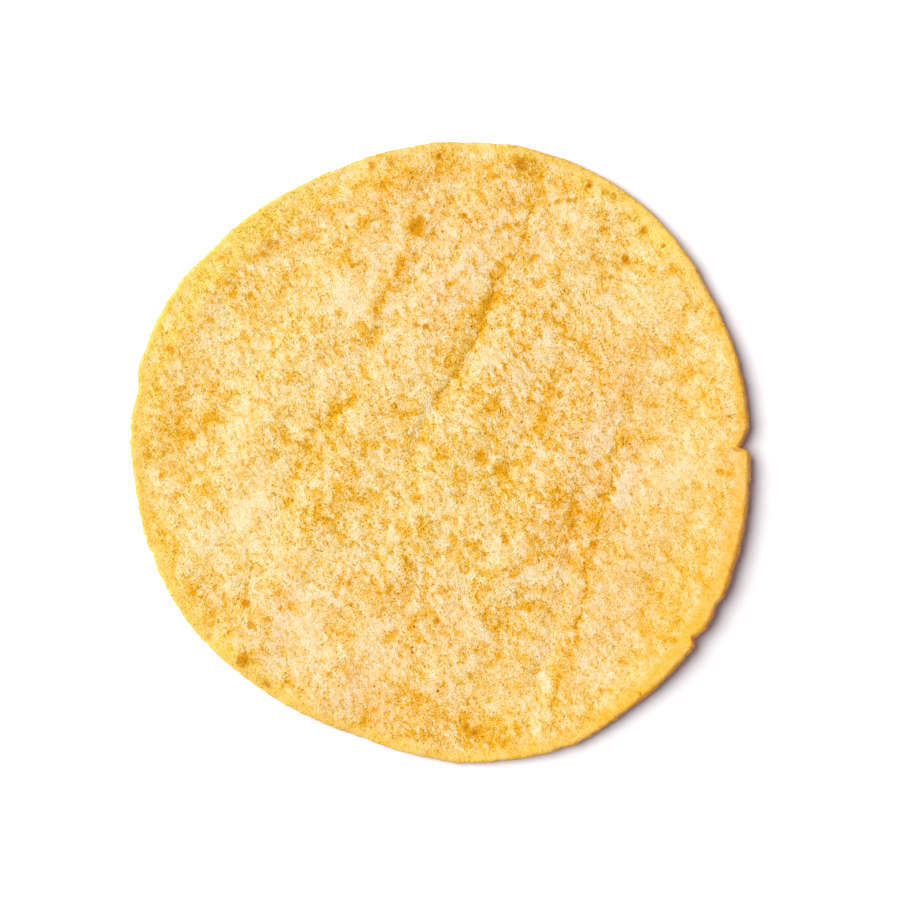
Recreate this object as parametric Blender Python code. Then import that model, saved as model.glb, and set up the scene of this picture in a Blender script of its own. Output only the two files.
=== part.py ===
"""A corn tortilla lying on a table: one thin, soft round of griddled maize dough, in metres, +Z up.

The round was pressed by hand, so its outline is a little three-cornered and its rim is torn in three places.
It cooled in a row of parallel bends, so that the sheet arches from one crease to the next, settles flat
on the table along the creases, and curls up off it at the rim.
"""

import math

import bmesh
import bpy
from mathutils import Matrix

MM = 0.001

# Driving dimensions
MEAN_RADIUS = 75.1 * MM
THICKNESS = 1.9 * MM
RIM_THICKNESS = 1.5 * MM
RIM_TAPER = 0.10  # the outer share of the radius over which the sheet thins to its rim

# Slow swellings of the outline: (how many go round, how far each stands out, direction of one)
LOBES = (
    (2, 0.6 * MM, 145.0),
    (3, 1.7 * MM, 59.0),
    (4, 0.3 * MM, 49.0),
    (5, 0.4 * MM, 0.0),
    (6, 0.3 * MM, 38.0),
)

# Short bulges (+) and dents (-) of the rim: (direction and half-width in degrees, how far)
RIM_MARKS = (
    (14.0, 10.0, 0.4 * MM),
    (32.0, 6.0, -0.4 * MM),
    (42.0, 4.0, -0.2 * MM),
    (76.0, 3.0, 0.3 * MM),
    (93.0, 3.0, 0.3 * MM),
    (140.0, 6.0, -0.5 * MM),
    (164.5, 2.0, 0.5 * MM),
    (169.0, 2.5, -0.7 * MM),
    (177.0, 4.0, 0.3 * MM),
    (196.0, 2.0, 0.3 * MM),
    (227.0, 8.0, -0.3 * MM),
    (254.0, 4.0, -0.3 * MM),
    (272.0, 5.0, 0.4 * MM),
    (294.0, 5.0, 0.3 * MM),
    (306.0, 7.0, -0.4 * MM),
    (322.0, 3.0, 0.4 * MM),
    (331.0, 5.0, 0.3 * MM),
)

# Tears in the rim, each a V: (direction of its lower lip, point and upper lip in degrees, depth,
# how many points of the rim lie along each side)
NICKS = (
    (-38.2, -37.2, -34.5, 1.4 * MM, 1),
    (-32.5, -29.6, -28.4, 0.6 * MM, 1),
    (-0.3, 0.7, 4.6, 2.5 * MM, 2),
)
NICK_REACH = 0.12  # the outer share of the radius that a nick draws inwards

# The bends: parallel creases that run at this angle, at these distances to the right of the middle
CREASE_DIRECTION = 61.0
CREASE_OFFSETS = (-78.1 * MM, -53.7 * MM, -29.3 * MM, -7.5 * MM, 15.2 * MM, 40.9 * MM, 66.0 * MM)
ARCH_HEIGHT = 0.45 * MM  # of the sheet between two creases, above its creases
SETTLED = 0.2 * MM  # how far the soft sheet's weight presses it onto the table

# The creases that show as furrows on top: (distance to the right of the middle, start and end along
# the crease, lean in degrees from the crease direction, depth, half-width)
FURROWS = (
    (-51.4 * MM, -10.0 * MM, 58.0 * MM, 2.0, 0.15 * MM, 2.0 * MM),
    (-27.4 * MM, -48.0 * MM, 69.0 * MM, -1.0, 0.20 * MM, 2.0 * MM),
    (-6.0 * MM, -12.0 * MM, 48.0 * MM, 0.0, 0.34 * MM, 2.3 * MM),
    (16.2 * MM, -8.0 * MM, 22.0 * MM, 3.0, 0.28 * MM, 2.2 * MM),
    (44.8 * MM, -62.0 * MM, 10.0 * MM, 15.0, 0.26 * MM, 2.2 * MM),
)

# Where the rim curls up off the table: (direction and half-width in degrees, height)
RIM_LIFTS = (
    (-30.0, 50.0, 4.1 * MM),
    (36.0, 44.0, 1.5 * MM),
    (96.0, 18.0, 0.5 * MM),
    (158.0, 30.0, 0.9 * MM),
    (232.0, 26.0, 0.7 * MM),
)
LEAST_LIFT = 0.2 * MM
LIFT_START = 0.75  # the share of the radius where the curl begins
LIFT_POWER = 2.4  # the curl steepens towards the rim

# Resolution of the faceted solid, which starts as a six-sided prism
SIDES = 6
RINGS = 26  # of triangles, from the middle to the rim
RIM_STEPS = 4  # bands round the rounded rim
RIM_POINTS = SIDES * RINGS
CALM_POINTS = 9  # how many points away from a nick the rim's points are evenly spaced again
OUTLINE_SAMPLES = 720

CRUMB_COLOUR = (0.87, 0.58, 0.21, 1.0)


def turn_from(angle, other):
    """The turn from other to angle in degrees, between -180 and 180."""
    return (angle - other + 180.0) % 360.0 - 180.0


def hump(distance, half_width):
    """1 at no distance, falling smoothly and nearly gone at twice the half-width."""
    return math.exp(-((distance / half_width) ** 2))


def ease(share):
    """0 to 1 with a smooth start and end."""
    share = min(1.0, max(0.0, share))
    return share * share * (3.0 - 2.0 * share)


def outline(angle):
    """Radius of the untorn rim in a direction in degrees, about the round's own middle."""
    lobes = sum(
        height * math.cos(math.radians(count * (angle - peak))) for count, height, peak in LOBES
    )
    marks = sum(height * hump(turn_from(angle, at), width) for at, width, height in RIM_MARKS)
    return MEAN_RADIUS + lobes + marks


def nick_depth(angle):
    """How far the tears reach in from the rim in a direction."""
    deepest = 0.0
    for lower_lip, point, upper_lip, depth, _points in NICKS:
        turn = turn_from(angle, point)
        lip = turn_from(upper_lip if turn > 0.0 else lower_lip, point)
        within = max(0.0, 1.0 - turn / lip)
        deepest = max(deepest, depth * 1.15 * within**2 / (within + 0.15))
    return deepest


def corner_posts():
    """Pairs of an even direction and the true one, which set points of the rim on each nick's corners."""
    step = 360.0 / RIM_POINTS
    posts = []
    for lower_lip, point, upper_lip, _depth, points in NICKS:
        nearest = round(point / step)
        posts.append(((nearest - points) * step, lower_lip))
        posts.append((nearest * step, point))
        posts.append(((nearest + points) * step, upper_lip))
    before = posts[0][0] - CALM_POINTS * step
    after = posts[-1][0] + CALM_POINTS * step
    return [(before, before)] + posts + [(after, after)]


CORNER_POSTS = corner_posts()


def true_direction(even):
    """The direction of a point of the rim whose direction would be even if there were no nicks."""
    even = turn_from(even, 0.0)
    for (start, true_start), (end, true_end) in zip(CORNER_POSTS, CORNER_POSTS[1:]):
        if start <= even <= end:
            return true_start + (true_end - true_start) * (even - start) / (end - start)
    return even


def outline_middle():
    """Middle of the outline's bounding box, about the round's own middle."""
    xs, ys = [], []
    for sample in range(OUTLINE_SAMPLES):
        angle = 360.0 * sample / OUTLINE_SAMPLES
        radius = outline(angle)
        xs.append(radius * math.cos(math.radians(angle)))
        ys.append(radius * math.sin(math.radians(angle)))
    return (max(xs) + min(xs)) / 2.0, (max(ys) + min(ys)) / 2.0


MIDDLE_X, MIDDLE_Y = outline_middle()


def across_and_along(x, y):
    """A place as its distance to the right of the middle crease and its distance up along it."""
    direction = math.radians(CREASE_DIRECTION)
    across = x * math.sin(direction) - y * math.cos(direction)
    along = x * math.cos(direction) + y * math.sin(direction)
    return across, along


def arch(x, y):
    """Height of the sheet's bends: nought at each crease, full half way to the next."""
    across, _along = across_and_along(x, y)
    for left, right in zip(CREASE_OFFSETS, CREASE_OFFSETS[1:]):
        if left <= across <= right:
            return ARCH_HEIGHT * math.sin(math.pi * (across - left) / (right - left)) ** 2
    return 0.0


def furrow(x, y):
    """Depth of the creases in the top face."""
    across, along = across_and_along(x, y)
    depth = 0.0
    for offset, start, end, lean, deepest, half_width in FURROWS:
        middle = (start + end) / 2.0
        drift = (middle - along) * math.tan(math.radians(lean))
        fade = ease((along - start) / (8.0 * MM)) * ease((end - along) / (8.0 * MM))
        depth = max(depth, deepest * fade * hump(across - offset - drift, half_width))
    return depth


def rim_lift(angle):
    """Height that the rim lifts off the table in a direction."""
    return LEAST_LIFT + sum(
        height * hump(turn_from(angle, at), width) for at, width, height in RIM_LIFTS
    )


def curl(share, angle):
    """Height that the sheet lifts off the table towards its rim."""
    reached = max(0.0, (share - LIFT_START) / (1.0 - LIFT_START))
    return rim_lift(angle) * reached**LIFT_POWER


def lean(share, angle):
    """How far the top of the rim leans in over its foot, as the rim's edge is square to the curled sheet."""
    steepness = LIFT_POWER * rim_lift(angle) / ((1.0 - LIFT_START) * MEAN_RADIUS)
    return RIM_THICKNESS * steepness * ease((share - 0.9) / 0.1)


def underside(x, y, share, angle):
    """Height of the lower face, flat on the table where the sheet's weight presses it down."""
    return max(0.0, arch(x, y) + curl(share, angle) - SETTLED)


def thickness(share):
    """The sheet's thickness, less near the rim."""
    taper = ease((share - 1.0 + RIM_TAPER) / RIM_TAPER)
    return THICKNESS + (RIM_THICKNESS - THICKNESS) * taper


def sheet_pattern():
    """A six-sided prism from level -1 to 1, its ends cut into even triangles and its sides into bands."""
    pattern = bmesh.new()
    bmesh.ops.create_cone(
        pattern,
        cap_ends=True,
        cap_tris=True,
        segments=SIDES,
        radius1=1.0,
        radius2=1.0,
        depth=2.0,
        matrix=Matrix.Rotation(math.radians(90.0), 4, "Z"),
    )
    upright = [edge for edge in pattern.edges if edge.verts[0].co.z * edge.verts[1].co.z < 0.0]
    bmesh.ops.subdivide_edges(pattern, edges=upright, cuts=RIM_STEPS - 1, use_grid_fill=True)
    level = [edge for edge in pattern.edges if abs(edge.verts[0].co.z - edge.verts[1].co.z) < 0.1]
    bmesh.ops.subdivide_edges(pattern, edges=level, cuts=RINGS - 1, use_grid_fill=True)
    return pattern


def share_and_direction(point):
    """A point of the six-sided pattern as its share of the way out and its direction on a round one."""
    corner_turn = 360.0 / SIDES
    sector, turn = divmod(math.degrees(math.atan2(point.y, point.x)), corner_turn)
    from_side = math.radians(turn - corner_turn / 2.0)
    half_side = math.radians(corner_turn / 2.0)
    share = math.hypot(point.x, point.y) * math.cos(from_side) / math.cos(half_side)
    along_side = 0.5 + 0.5 * math.tan(from_side) / math.tan(half_side)
    return share, corner_turn * (sector + along_side)


def shaped(point):
    """Where a point of the pattern lies on the finished tortilla."""
    share, even = share_and_direction(point)
    angle = true_direction(even)
    slope = 0.5 * math.pi * point.z
    round_in = 0.5 * RIM_THICKNESS * (1.0 - math.cos(slope))
    tear = nick_depth(angle) * ease((share - 1.0 + NICK_REACH) / NICK_REACH)
    height = (math.sin(slope) + 1.0) / 2.0
    radius = share * (outline(angle) - round_in) - tear - height * lean(share, angle)
    x = radius * math.cos(math.radians(angle)) - MIDDLE_X
    y = radius * math.sin(math.radians(angle)) - MIDDLE_Y
    low = underside(x, y, share, angle)
    high = low + thickness(share) - furrow(x, y)
    return x, y, low + (high - low) * height


def crumb_material():
    """Dry, matt maize crumb, gold with a cream bloom."""
    material = bpy.data.materials.new("maize_crumb")
    material.use_nodes = True
    shader = material.node_tree.nodes["Principled BSDF"]
    shader.inputs["Base Color"].default_value = CRUMB_COLOUR
    shader.inputs["Roughness"].default_value = 0.8
    shader.inputs["Metallic"].default_value = 0.0
    return material


def make_tortilla(collection):
    """The whole tortilla as one closed mesh."""
    pattern = sheet_pattern()
    for point in pattern.verts:
        point.co = shaped(point.co)
    bmesh.ops.triangulate(pattern, faces=pattern.faces)
    bmesh.ops.recalc_face_normals(pattern, faces=pattern.faces)
    mesh = bpy.data.meshes.new("tortilla")
    pattern.to_mesh(mesh)
    pattern.free()
    mesh.shade_smooth()
    mesh.materials.append(crumb_material())
    tortilla = bpy.data.objects.new("tortilla", mesh)
    collection.objects.link(tortilla)
    return tortilla


for old in list(bpy.data.objects):
    bpy.data.objects.remove(old)

parts = bpy.data.collections.new("corn_tortilla")
bpy.context.scene.collection.children.link(parts)
make_tortilla(parts)
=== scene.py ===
import math

import bmesh
import bpy
import numpy as np
from mathutils import Euler, Matrix, Vector, noise


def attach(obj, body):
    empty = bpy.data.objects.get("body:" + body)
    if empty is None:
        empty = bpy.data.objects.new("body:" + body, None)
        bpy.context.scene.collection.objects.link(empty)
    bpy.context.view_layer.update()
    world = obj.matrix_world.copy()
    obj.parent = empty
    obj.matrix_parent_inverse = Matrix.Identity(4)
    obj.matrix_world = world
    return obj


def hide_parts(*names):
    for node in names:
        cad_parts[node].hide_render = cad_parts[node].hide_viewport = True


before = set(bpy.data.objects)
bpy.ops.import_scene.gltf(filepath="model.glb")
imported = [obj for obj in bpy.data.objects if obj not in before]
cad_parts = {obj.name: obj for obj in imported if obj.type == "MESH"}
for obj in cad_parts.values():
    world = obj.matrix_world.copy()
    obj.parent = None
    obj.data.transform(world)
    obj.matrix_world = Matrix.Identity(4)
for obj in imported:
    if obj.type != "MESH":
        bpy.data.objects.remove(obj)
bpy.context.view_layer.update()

# ---------------------------------------------------------------------------------------------------
# The tortilla: one round of wet-ground maize dough, pressed thin by hand and baked on a slatted griddle.
# It is 150 mm across and not quite 2 mm thick. The slats left parallel toasted creases, the sheet arches
# softly from one to the next, and its rim dried first: it thinned, curled up and tore in three places.
# ---------------------------------------------------------------------------------------------------
MM = 0.001  # the tortilla's sizes are in millimetres, and its finished mesh is scaled by this

# The pressed outline
MEAN_RADIUS = 75.1
THICKNESS = 1.9
RIM_THICKNESS = 1.5
RIM_TAPER = 0.10  # the outer share of the radius over which the sheet thins to its rim

# Slow swellings: (how many go round, how far each stands out, direction of one in degrees)
LOBES = ((2, 0.6, 145.0), (3, 1.7, 59.0), (4, 0.3, 49.0), (5, 0.4, 0.0), (6, 0.3, 38.0))

# Short bulges (+) and dents (-): (direction and half-width in degrees, how far)
RIM_MARKS = (
    (14.0, 10.0, 0.4), (32.0, 6.0, -0.4), (42.0, 4.0, -0.2), (76.0, 3.0, 0.3), (93.0, 3.0, 0.3),
    (140.0, 6.0, -0.5), (164.5, 2.0, 0.5), (169.0, 2.5, -0.7), (177.0, 4.0, 0.3), (196.0, 2.0, 0.3),
    (227.0, 8.0, -0.3), (254.0, 4.0, -0.3), (272.0, 5.0, 0.4), (294.0, 5.0, 0.3), (306.0, 7.0, -0.4),
    (322.0, 3.0, 0.4), (331.0, 5.0, 0.3),
)

# Tears, each a V: (direction of its lower lip, point and upper lip in degrees, depth, points a side)
TEARS = ((-38.2, -37.2, -34.5, 1.4, 5), (-32.5, -29.6, -28.4, 0.6, 4), (-0.3, 0.7, 4.6, 2.5, 8))
TEAR_REACH = 0.08  # the outer share of the radius that a tear draws inwards
CALM_POINTS = 45  # how many points away from a tear the rim's points are evenly spaced again

# The griddle's slats: the direction they run in and how far each crease lies to the right of the middle
SLAT_DIRECTION = 61.0
CREASES = (-78.1, -53.7, -29.3, -7.5, 15.2, 40.9, 66.0)
ARCH_HEIGHT = 0.45
SETTLED = 0.2  # how far the soft sheet's weight presses it onto the table

# Furrows: (to the right of the middle, start and end along it, lean in degrees, depth, half-width)
FURROWS = (
    (-51.4, -10.0, 58.0, 2.0, 0.15, 2.0),
    (-27.4, -48.0, 69.0, -1.0, 0.20, 2.0),
    (-6.0, -12.0, 48.0, 0.0, 0.34, 2.3),
    (16.2, -8.0, 22.0, 3.0, 0.28, 2.2),
    (44.8, -62.0, 10.0, 15.0, 0.26, 2.2),
)

# The curl of the rim off the table: (direction and half-width in degrees, height)
RIM_LIFTS = (
    (-30.0, 50.0, 4.1), (36.0, 44.0, 1.5), (96.0, 18.0, 0.5), (158.0, 30.0, 0.9), (232.0, 26.0, 0.7),
)
LEAST_LIFT = 0.2
CURL_START = 0.75  # the share of the radius where it begins
CURL_POWER = 2.4  # it steepens towards the rim, and the rim's edge stays square to the sheet

# The dough cracked as it dried, so its rim is ragged: each is (how far, size of the steps, seed)
RIM_STEPS = ((0.18, 3.6, 11.0), (0.22, 1.3, 23.0))
RIM_BITES = (0.7, 2.2, 17.0)
BITE_LEVEL = 0.35  # there is a bite only where the noise is above this
TEAR_FRAY = (0.35, 0.8, 29.0)

# The relief of the shown face: heights, and the half-width of a crack's dip
SWELL_HEIGHT = 0.09
FLAKE_HEIGHT = 0.030
FOLD_HEIGHT = 0.6
CRACK_DEPTH = 0.08
CRACK_DIP = 0.7
BACK_HEIGHT = 0.10

# Where the griddle browned it, in lines along the creases: (points of the line, strength, half-width)
SLAT_LINES = (
    (
        ((19.0, 48.5), (15.0, 43.5), (12.5, 39.5), (9.5, 31.0), (6.5, 24.0), (1.5, 15.5), (-2.5, 12.0)),
        0.75,
        1.4,
    ),
    (((24.0, 62.0), (21.5, 56.0), (19.0, 48.5)), 0.35, 1.2),
    (((33.3, 27.0), (30.0, 24.5), (28.0, 18.7), (25.3, 11.0), (23.5, 6.5)), 0.7, 1.6),
    (((42.0, -5.0), (40.6, -9.9), (38.0, -13.5), (37.5, -20.0), (35.4, -27.0), (34.5, -37.0)), 0.7, 1.5),
    (((34.5, -37.0), (32.3, -44.0), (29.0, -54.0), (27.0, -61.5), (28.5, -66.0)), 0.45, 1.1),
    (((-4.5, 59.0), (-6.5, 54.0), (-8.5, 47.5), (-11.8, 41.0), (-16.0, 32.0), (-19.0, 27.0)), 0.65, 1.1),
    (((-31.0, 56.0), (-36.8, 42.0), (-40.5, 34.0)), 0.45, 1.2),
    (((-21.0, 13.5), (-27.0, 8.0), (-33.5, -2.0), (-37.5, -13.0)), 0.45, 1.8),
    (((-51.0, 15.0), (-55.0, 9.0), (-60.0, 3.0)), 0.45, 1.5),
    (((54.6, 27.0), (65.6, 10.3), (71.6, 4.2)), 0.25, 1.4),
    (((-17.0, -52.8), (0.0, -61.3), (9.7, -67.4)), 0.35, 1.5),
)

# Broad clouds where it is more toasted: (x, y, length along the slats, width across them, strength)
BROWNED = (
    (-66.0, 6.0, 11.0, 6.0, 0.50),
    (-56.0, 44.0, 8.0, 5.0, 0.40),
    (14.0, -6.0, 7.0, 5.0, 0.55),
    (23.0, 4.0, 6.0, 4.0, 0.55),
    (33.0, -16.0, 10.0, 5.0, 0.45),
    (17.0, -14.0, 8.0, 5.0, 0.35),
    (-26.0, -14.0, 7.0, 5.0, 0.50),
    (-29.0, 5.0, 6.0, 5.0, 0.35),
    (-5.0, -20.0, 6.0, 5.0, 0.25),
    (17.0, -40.0, 8.0, 6.0, 0.45),
    (54.0, -36.0, 7.0, 7.0, 0.40),
    (60.0, -24.0, 8.0, 5.0, 0.30),
    (8.5, -66.0, 5.0, 10.0, 0.45),
    (-5.0, -44.0, 4.0, 4.0, 0.30),
    (12.0, 12.0, 6.0, 6.0, 0.15),
    (36.0, 28.0, 5.0, 5.0, 0.40),
    (14.0, 41.0, 5.0, 5.0, 0.25),
    (16.0, 56.0, 6.0, 3.0, 0.25),
    (44.0, 6.0, 7.0, 3.5, 0.30),
    (3.0, 24.0, 8.0, 3.0, 0.25),
    (-10.0, 10.0, 4.0, 3.0, 0.10),
)

# Where it is blushed with peach, in the same form
BLUSH = (
    (38.0, 14.0, 18.0, 13.0, 0.9),
    (37.0, -14.0, 20.0, 13.0, 1.0),
    (0.0, 48.0, 22.0, 13.0, 0.9),
    (20.0, 50.0, 20.0, 14.0, 0.6),
    (-18.0, 62.0, 12.0, 14.0, 0.6),
    (-20.0, -58.0, 14.0, 16.0, 0.9),
    (-38.0, -42.0, 16.0, 12.0, 0.5),
    (-15.0, -36.0, 12.0, 10.0, 0.6),
    (2.0, -42.0, 12.0, 10.0, 0.7),
    (36.0, -42.0, 16.0, 12.0, 0.7),
    (-2.0, -62.0, 10.0, 12.0, 0.5),
    (18.0, 20.0, 10.0, 10.0, 0.4),
    (-18.0, 20.0, 10.0, 8.0, 0.4),
)

# Where the skin lifted in rows of flakes, in the same form
LADDER = (
    (16.5, 21.0, 17.0, 8.0, 1.0),
    (22.0, 26.0, 10.0, 7.0, 0.7),
    (30.5, -5.0, 9.0, 4.0, 0.7),
    (41.0, -9.0, 9.0, 4.0, 0.8),
    (-26.0, 36.0, 10.0, 5.0, 0.5),
    (-50.0, -10.0, 12.0, 6.0, 0.6),
    (8.0, -20.0, 9.0, 6.0, 0.5),
    (40.0, -55.0, 8.0, 5.0, 0.4),
)

# How strongly it is browned in the golden patches, and in a halo round each singed or scorched spot
GOLDEN_STRENGTH = 0.60
HALO_STRENGTH = 0.45
HALO_WIDTH = 1.9  # times the spot's own half-width
SINGED_STRENGTH = 0.5  # of a scorched spot's

# Small golden patches: (x, y, half-width)
GOLDEN = (
    (32.8, 26.5, 2.4), (34.0, -25.5, 2.4), (32.5, -27.5, 1.8), (21.7, -37.7, 1.6), (18.6, -37.0, 1.4),
    (24.8, -41.0, 1.6), (22.8, -43.4, 1.5), (12.8, -41.3, 1.8), (1.3, -33.3, 1.3), (2.5, -34.2, 1.2),
    (17.2, -29.5, 1.3), (16.5, -43.0, 1.5), (31.8, -46.5, 1.6), (13.5, -5.0, 2.0), (12.5, -8.0, 2.2),
    (13.5, -12.5, 2.2), (10.0, -1.5, 1.6), (10.9, 10.8, 1.4), (14.3, 10.0, 1.3), (16.0, 8.5, 1.3),
    (11.5, 17.5, 1.4), (13.8, 6.8, 1.3), (-21.3, 13.2, 1.6), (-9.0, 12.8, 1.4), (-11.5, 10.7, 1.3),
    (-7.5, 9.8, 1.2), (-27.0, 8.0, 1.8), (-22.7, 7.5, 1.4), (-3.7, 4.0, 1.4), (-6.2, -2.0, 1.2),
    (-18.0, 4.5, 1.4), (-19.3, 2.5, 1.3), (-18.0, 0.5, 1.2), (-20.5, -5.5, 1.6), (-20.0, -11.5, 1.6),
    (-25.7, -8.3, 1.5), (-27.5, -17.0, 2.0), (-37.7, 3.5, 1.6), (-33.5, 4.7, 1.4), (-33.8, -3.0, 1.5),
    (-37.0, -12.0, 1.5), (-30.7, -21.0, 1.4), (-48.0, -8.5, 1.1), (-51.0, -9.5, 1.1), (-59.0, -5.0, 1.2),
    (-61.8, 3.1, 1.8), (-66.5, 4.2, 1.8), (-69.3, 3.3, 1.4), (-54.0, 8.0, 1.6), (-51.6, 14.0, 1.4),
    (-44.4, 18.4, 1.0), (-16.0, 32.0, 1.6), (-17.7, 29.0, 1.5), (-19.5, 42.0, 1.3), (-11.8, 40.7, 1.5),
    (-22.5, 43.0, 1.2), (-8.0, 47.5, 1.4), (-6.5, 54.2, 1.8), (-32.0, 53.0, 1.5), (-33.0, 26.3, 1.2),
    (-36.8, 41.5, 1.4), (-39.0, 37.5, 1.4), (-47.2, 36.5, 1.5), (-50.0, 38.5, 1.4), (-55.5, 38.2, 1.3),
    (-43.5, 53.0, 1.3), (42.5, 37.0, 1.3), (37.7, 38.3, 1.2), (29.3, 31.7, 1.3), (49.3, 28.3, 1.4),
    (56.5, 26.5, 1.3), (53.6, 18.0, 1.3), (47.0, 4.0, 1.2), (54.3, -2.5, 1.3), (48.7, -38.7, 1.5),
    (48.5, -43.0, 1.4), (14.3, -49.3, 1.3), (13.2, -64.5, 1.4), (-8.5, -57.0, 1.4), (-6.5, -53.0, 1.4),
    (-34.3, -58.0, 1.3), (-58.0, -37.5, 1.5), (-27.2, -42.5, 1.2), (-24.5, -23.0, 1.3), (16.5, -16.0, 1.6),
    (24.5, 7.0, 1.8), (23.5, 10.5, 1.4), (28.2, 18.7, 1.3), (38.6, -10.5, 1.4), (37.0, -16.5, 1.4),
    (8.5, 32.5, 1.2), (6.0, 28.0, 1.2), (4.5, 22.3, 1.3), (1.5, 13.0, 1.3),
)

# Small spots singed golden: (x, y, half-width)
SINGED = (
    (-12.0, 70.0, 1.2), (-16.5, 69.5, 1.1), (-14.3, 64.5, 1.1), (17.9, 73.8, 0.7), (39.5, 62.8, 1.0),
    (41.8, 61.8, 0.9), (28.5, 60.3, 0.9), (30.2, 54.3, 1.0), (39.3, 54.5, 0.8), (38.0, 46.3, 0.8),
    (22.3, 47.0, 0.7), (65.1, 33.2, 0.9), (68.0, 30.6, 0.8), (61.0, 19.6, 0.7), (63.2, 19.6, 0.7),
    (-41.5, 50.6, 1.3), (-39.5, 50.2, 1.3), (-42.5, 48.0, 1.2), (-50.7, 48.3, 0.8), (-53.0, 47.0, 0.7),
    (-65.5, 25.3, 0.8), (-45.8, -41.5, 1.0), (-42.0, -55.7, 0.9), (-38.0, -56.0, 0.7), (-26.3, -53.7, 0.9),
    (-39.2, -34.0, 0.8), (-56.0, -44.5, 0.8), (-18.0, -65.0, 0.8), (-12.0, -32.8, 0.9), (-66.7, -0.5, 0.7),
    (66.0, -38.0, 0.7), (28.5, -54.0, 0.7), (6.9, 56.0, 0.9), (-5.5, 30.8, 0.9), (32.5, 61.3, 0.8),
    (16.5, 68.8, 1.2), (22.4, 70.0, 1.1),
)

# Small spots scorched brown, in the same form
SCORCHED = (
    (19.5, 69.5, 1.7), (0.0, 71.8, 0.8), (36.0, 64.6, 1.0), (31.0, 61.0, 0.6), (49.3, 53.5, 1.0),
    (44.8, 46.9, 1.1), (54.0, 50.0, 0.6), (-47.6, -50.3, 1.5), (-47.0, -36.4, 0.9), (-1.0, -40.4, 0.7),
    (8.6, -67.3, 1.1), (6.7, -66.0, 0.7), (38.5, -10.7, 0.8), (37.0, -22.0, 1.0), (-6.3, 54.4, 1.7),
    (-4.9, 56.0, 1.0), (-3.4, 30.5, 0.7), (5.8, 57.3, 0.7), (48.3, -58.0, 0.7),
)

# Dark flecks of the kernels' tips, ground in with the meal: (x, y)
FLECKS = (
    (12.9, -62.8), (13.1, -67.1), (-0.5, -57.7), (-6.7, -48.3), (-6.7, -47.2), (-6.2, -42.1),
    (-16.0, -56.5), (5.6, -51.0), (3.5, -41.5), (23.4, -49.4), (33.4, 3.5), (39.9, 16.3), (19.8, 7.4),
    (-25.1, -4.3), (-41.6, -15.4), (-19.8, -9.8), (7.7, 30.5), (-51.6, 5.0), (45.9, 2.0), (52.8, -12.6),
    (50.6, -22.5), (42.0, -47.0), (54.4, -47.2), (-37.3, -53.4), (-12.0, 3.3), (-5.7, 31.5),
)

# Pale places, and painted highlights along folds: (x, y, length along the slats, width across them,
# strength)
PALE_AND_HIGHLIGHTS = (
    (-20.5, 37.0, 7.5, 5.0, 1.0),
    (-21.5, 37.5, 4.0, 3.0, 1.0),
    (-46.0, -14.0, 9.0, 5.5, 1.0),
    (-46.0, 7.0, 6.0, 4.0, 0.9),
    (-45.0, 19.0, 7.0, 3.5, 0.6),
    (-35.0, -41.0, 9.0, 6.5, 0.8),
    (-36.0, -27.0, 5.0, 5.0, 0.6),
    (-55.0, -22.0, 7.0, 5.0, 0.6),
    (-50.0, 26.0, 5.0, 5.0, 0.4),
    (-30.0, 16.0, 6.0, 4.0, 0.4),
    (5.0, 43.0, 8.0, 4.5, 0.7),
    (-3.0, 31.0, 7.0, 4.0, 0.5),
    (11.5, 24.0, 6.0, 2.2, 0.8),
    (25.5, 26.0, 5.0, 2.5, 0.8),
    (19.0, 16.0, 7.0, 3.0, 0.5),
    (-16.0, 18.0, 5.0, 3.5, 0.5),
    (-17.0, -5.0, 5.0, 2.5, 0.7),
    (4.0, -15.0, 7.0, 4.0, 0.7),
    (43.5, -9.5, 6.0, 1.6, 1.0),
    (40.2, 2.5, 5.0, 1.0, 0.8),
    (2.5, -31.0, 4.0, 3.0, 0.4),
    (-16.0, -47.0, 7.0, 5.0, 0.6),
    (7.0, -42.0, 5.0, 3.0, 0.6),
    (3.5, -58.0, 3.0, 3.0, 0.5),
    (29.0, 52.0, 8.0, 6.0, 0.4),
    (48.0, 38.0, 7.0, 6.0, 0.3),
    (57.0, -3.0, 9.0, 5.0, 0.5),
    (45.0, -38.0, 5.0, 4.0, 0.4),
    (36.0, -53.0, 5.0, 4.0, 0.5),
    (27.0, -32.0, 3.0, 2.0, 0.5),
    (62.0, -17.0, 4.0, 4.0, 0.3),
    (-9.0, 10.0, 9.0, 7.0, 0.50),
    (-10.0, 46.0, 9.0, 7.0, 0.45),
    (-8.0, 28.0, 8.0, 7.0, 0.30),
    (-46.0, -28.0, 8.0, 7.0, 0.40),
    (-45.0, 9.0, 8.0, 6.0, 0.30),
    (10.0, -46.0, 8.0, 7.0, 0.35),
    (-28.0, -46.0, 8.0, 7.0, 0.25),
    (46.0, -28.0, 8.0, 7.0, 0.25),
    (-28.0, -9.0, 7.0, 7.0, 0.25),
)

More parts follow.
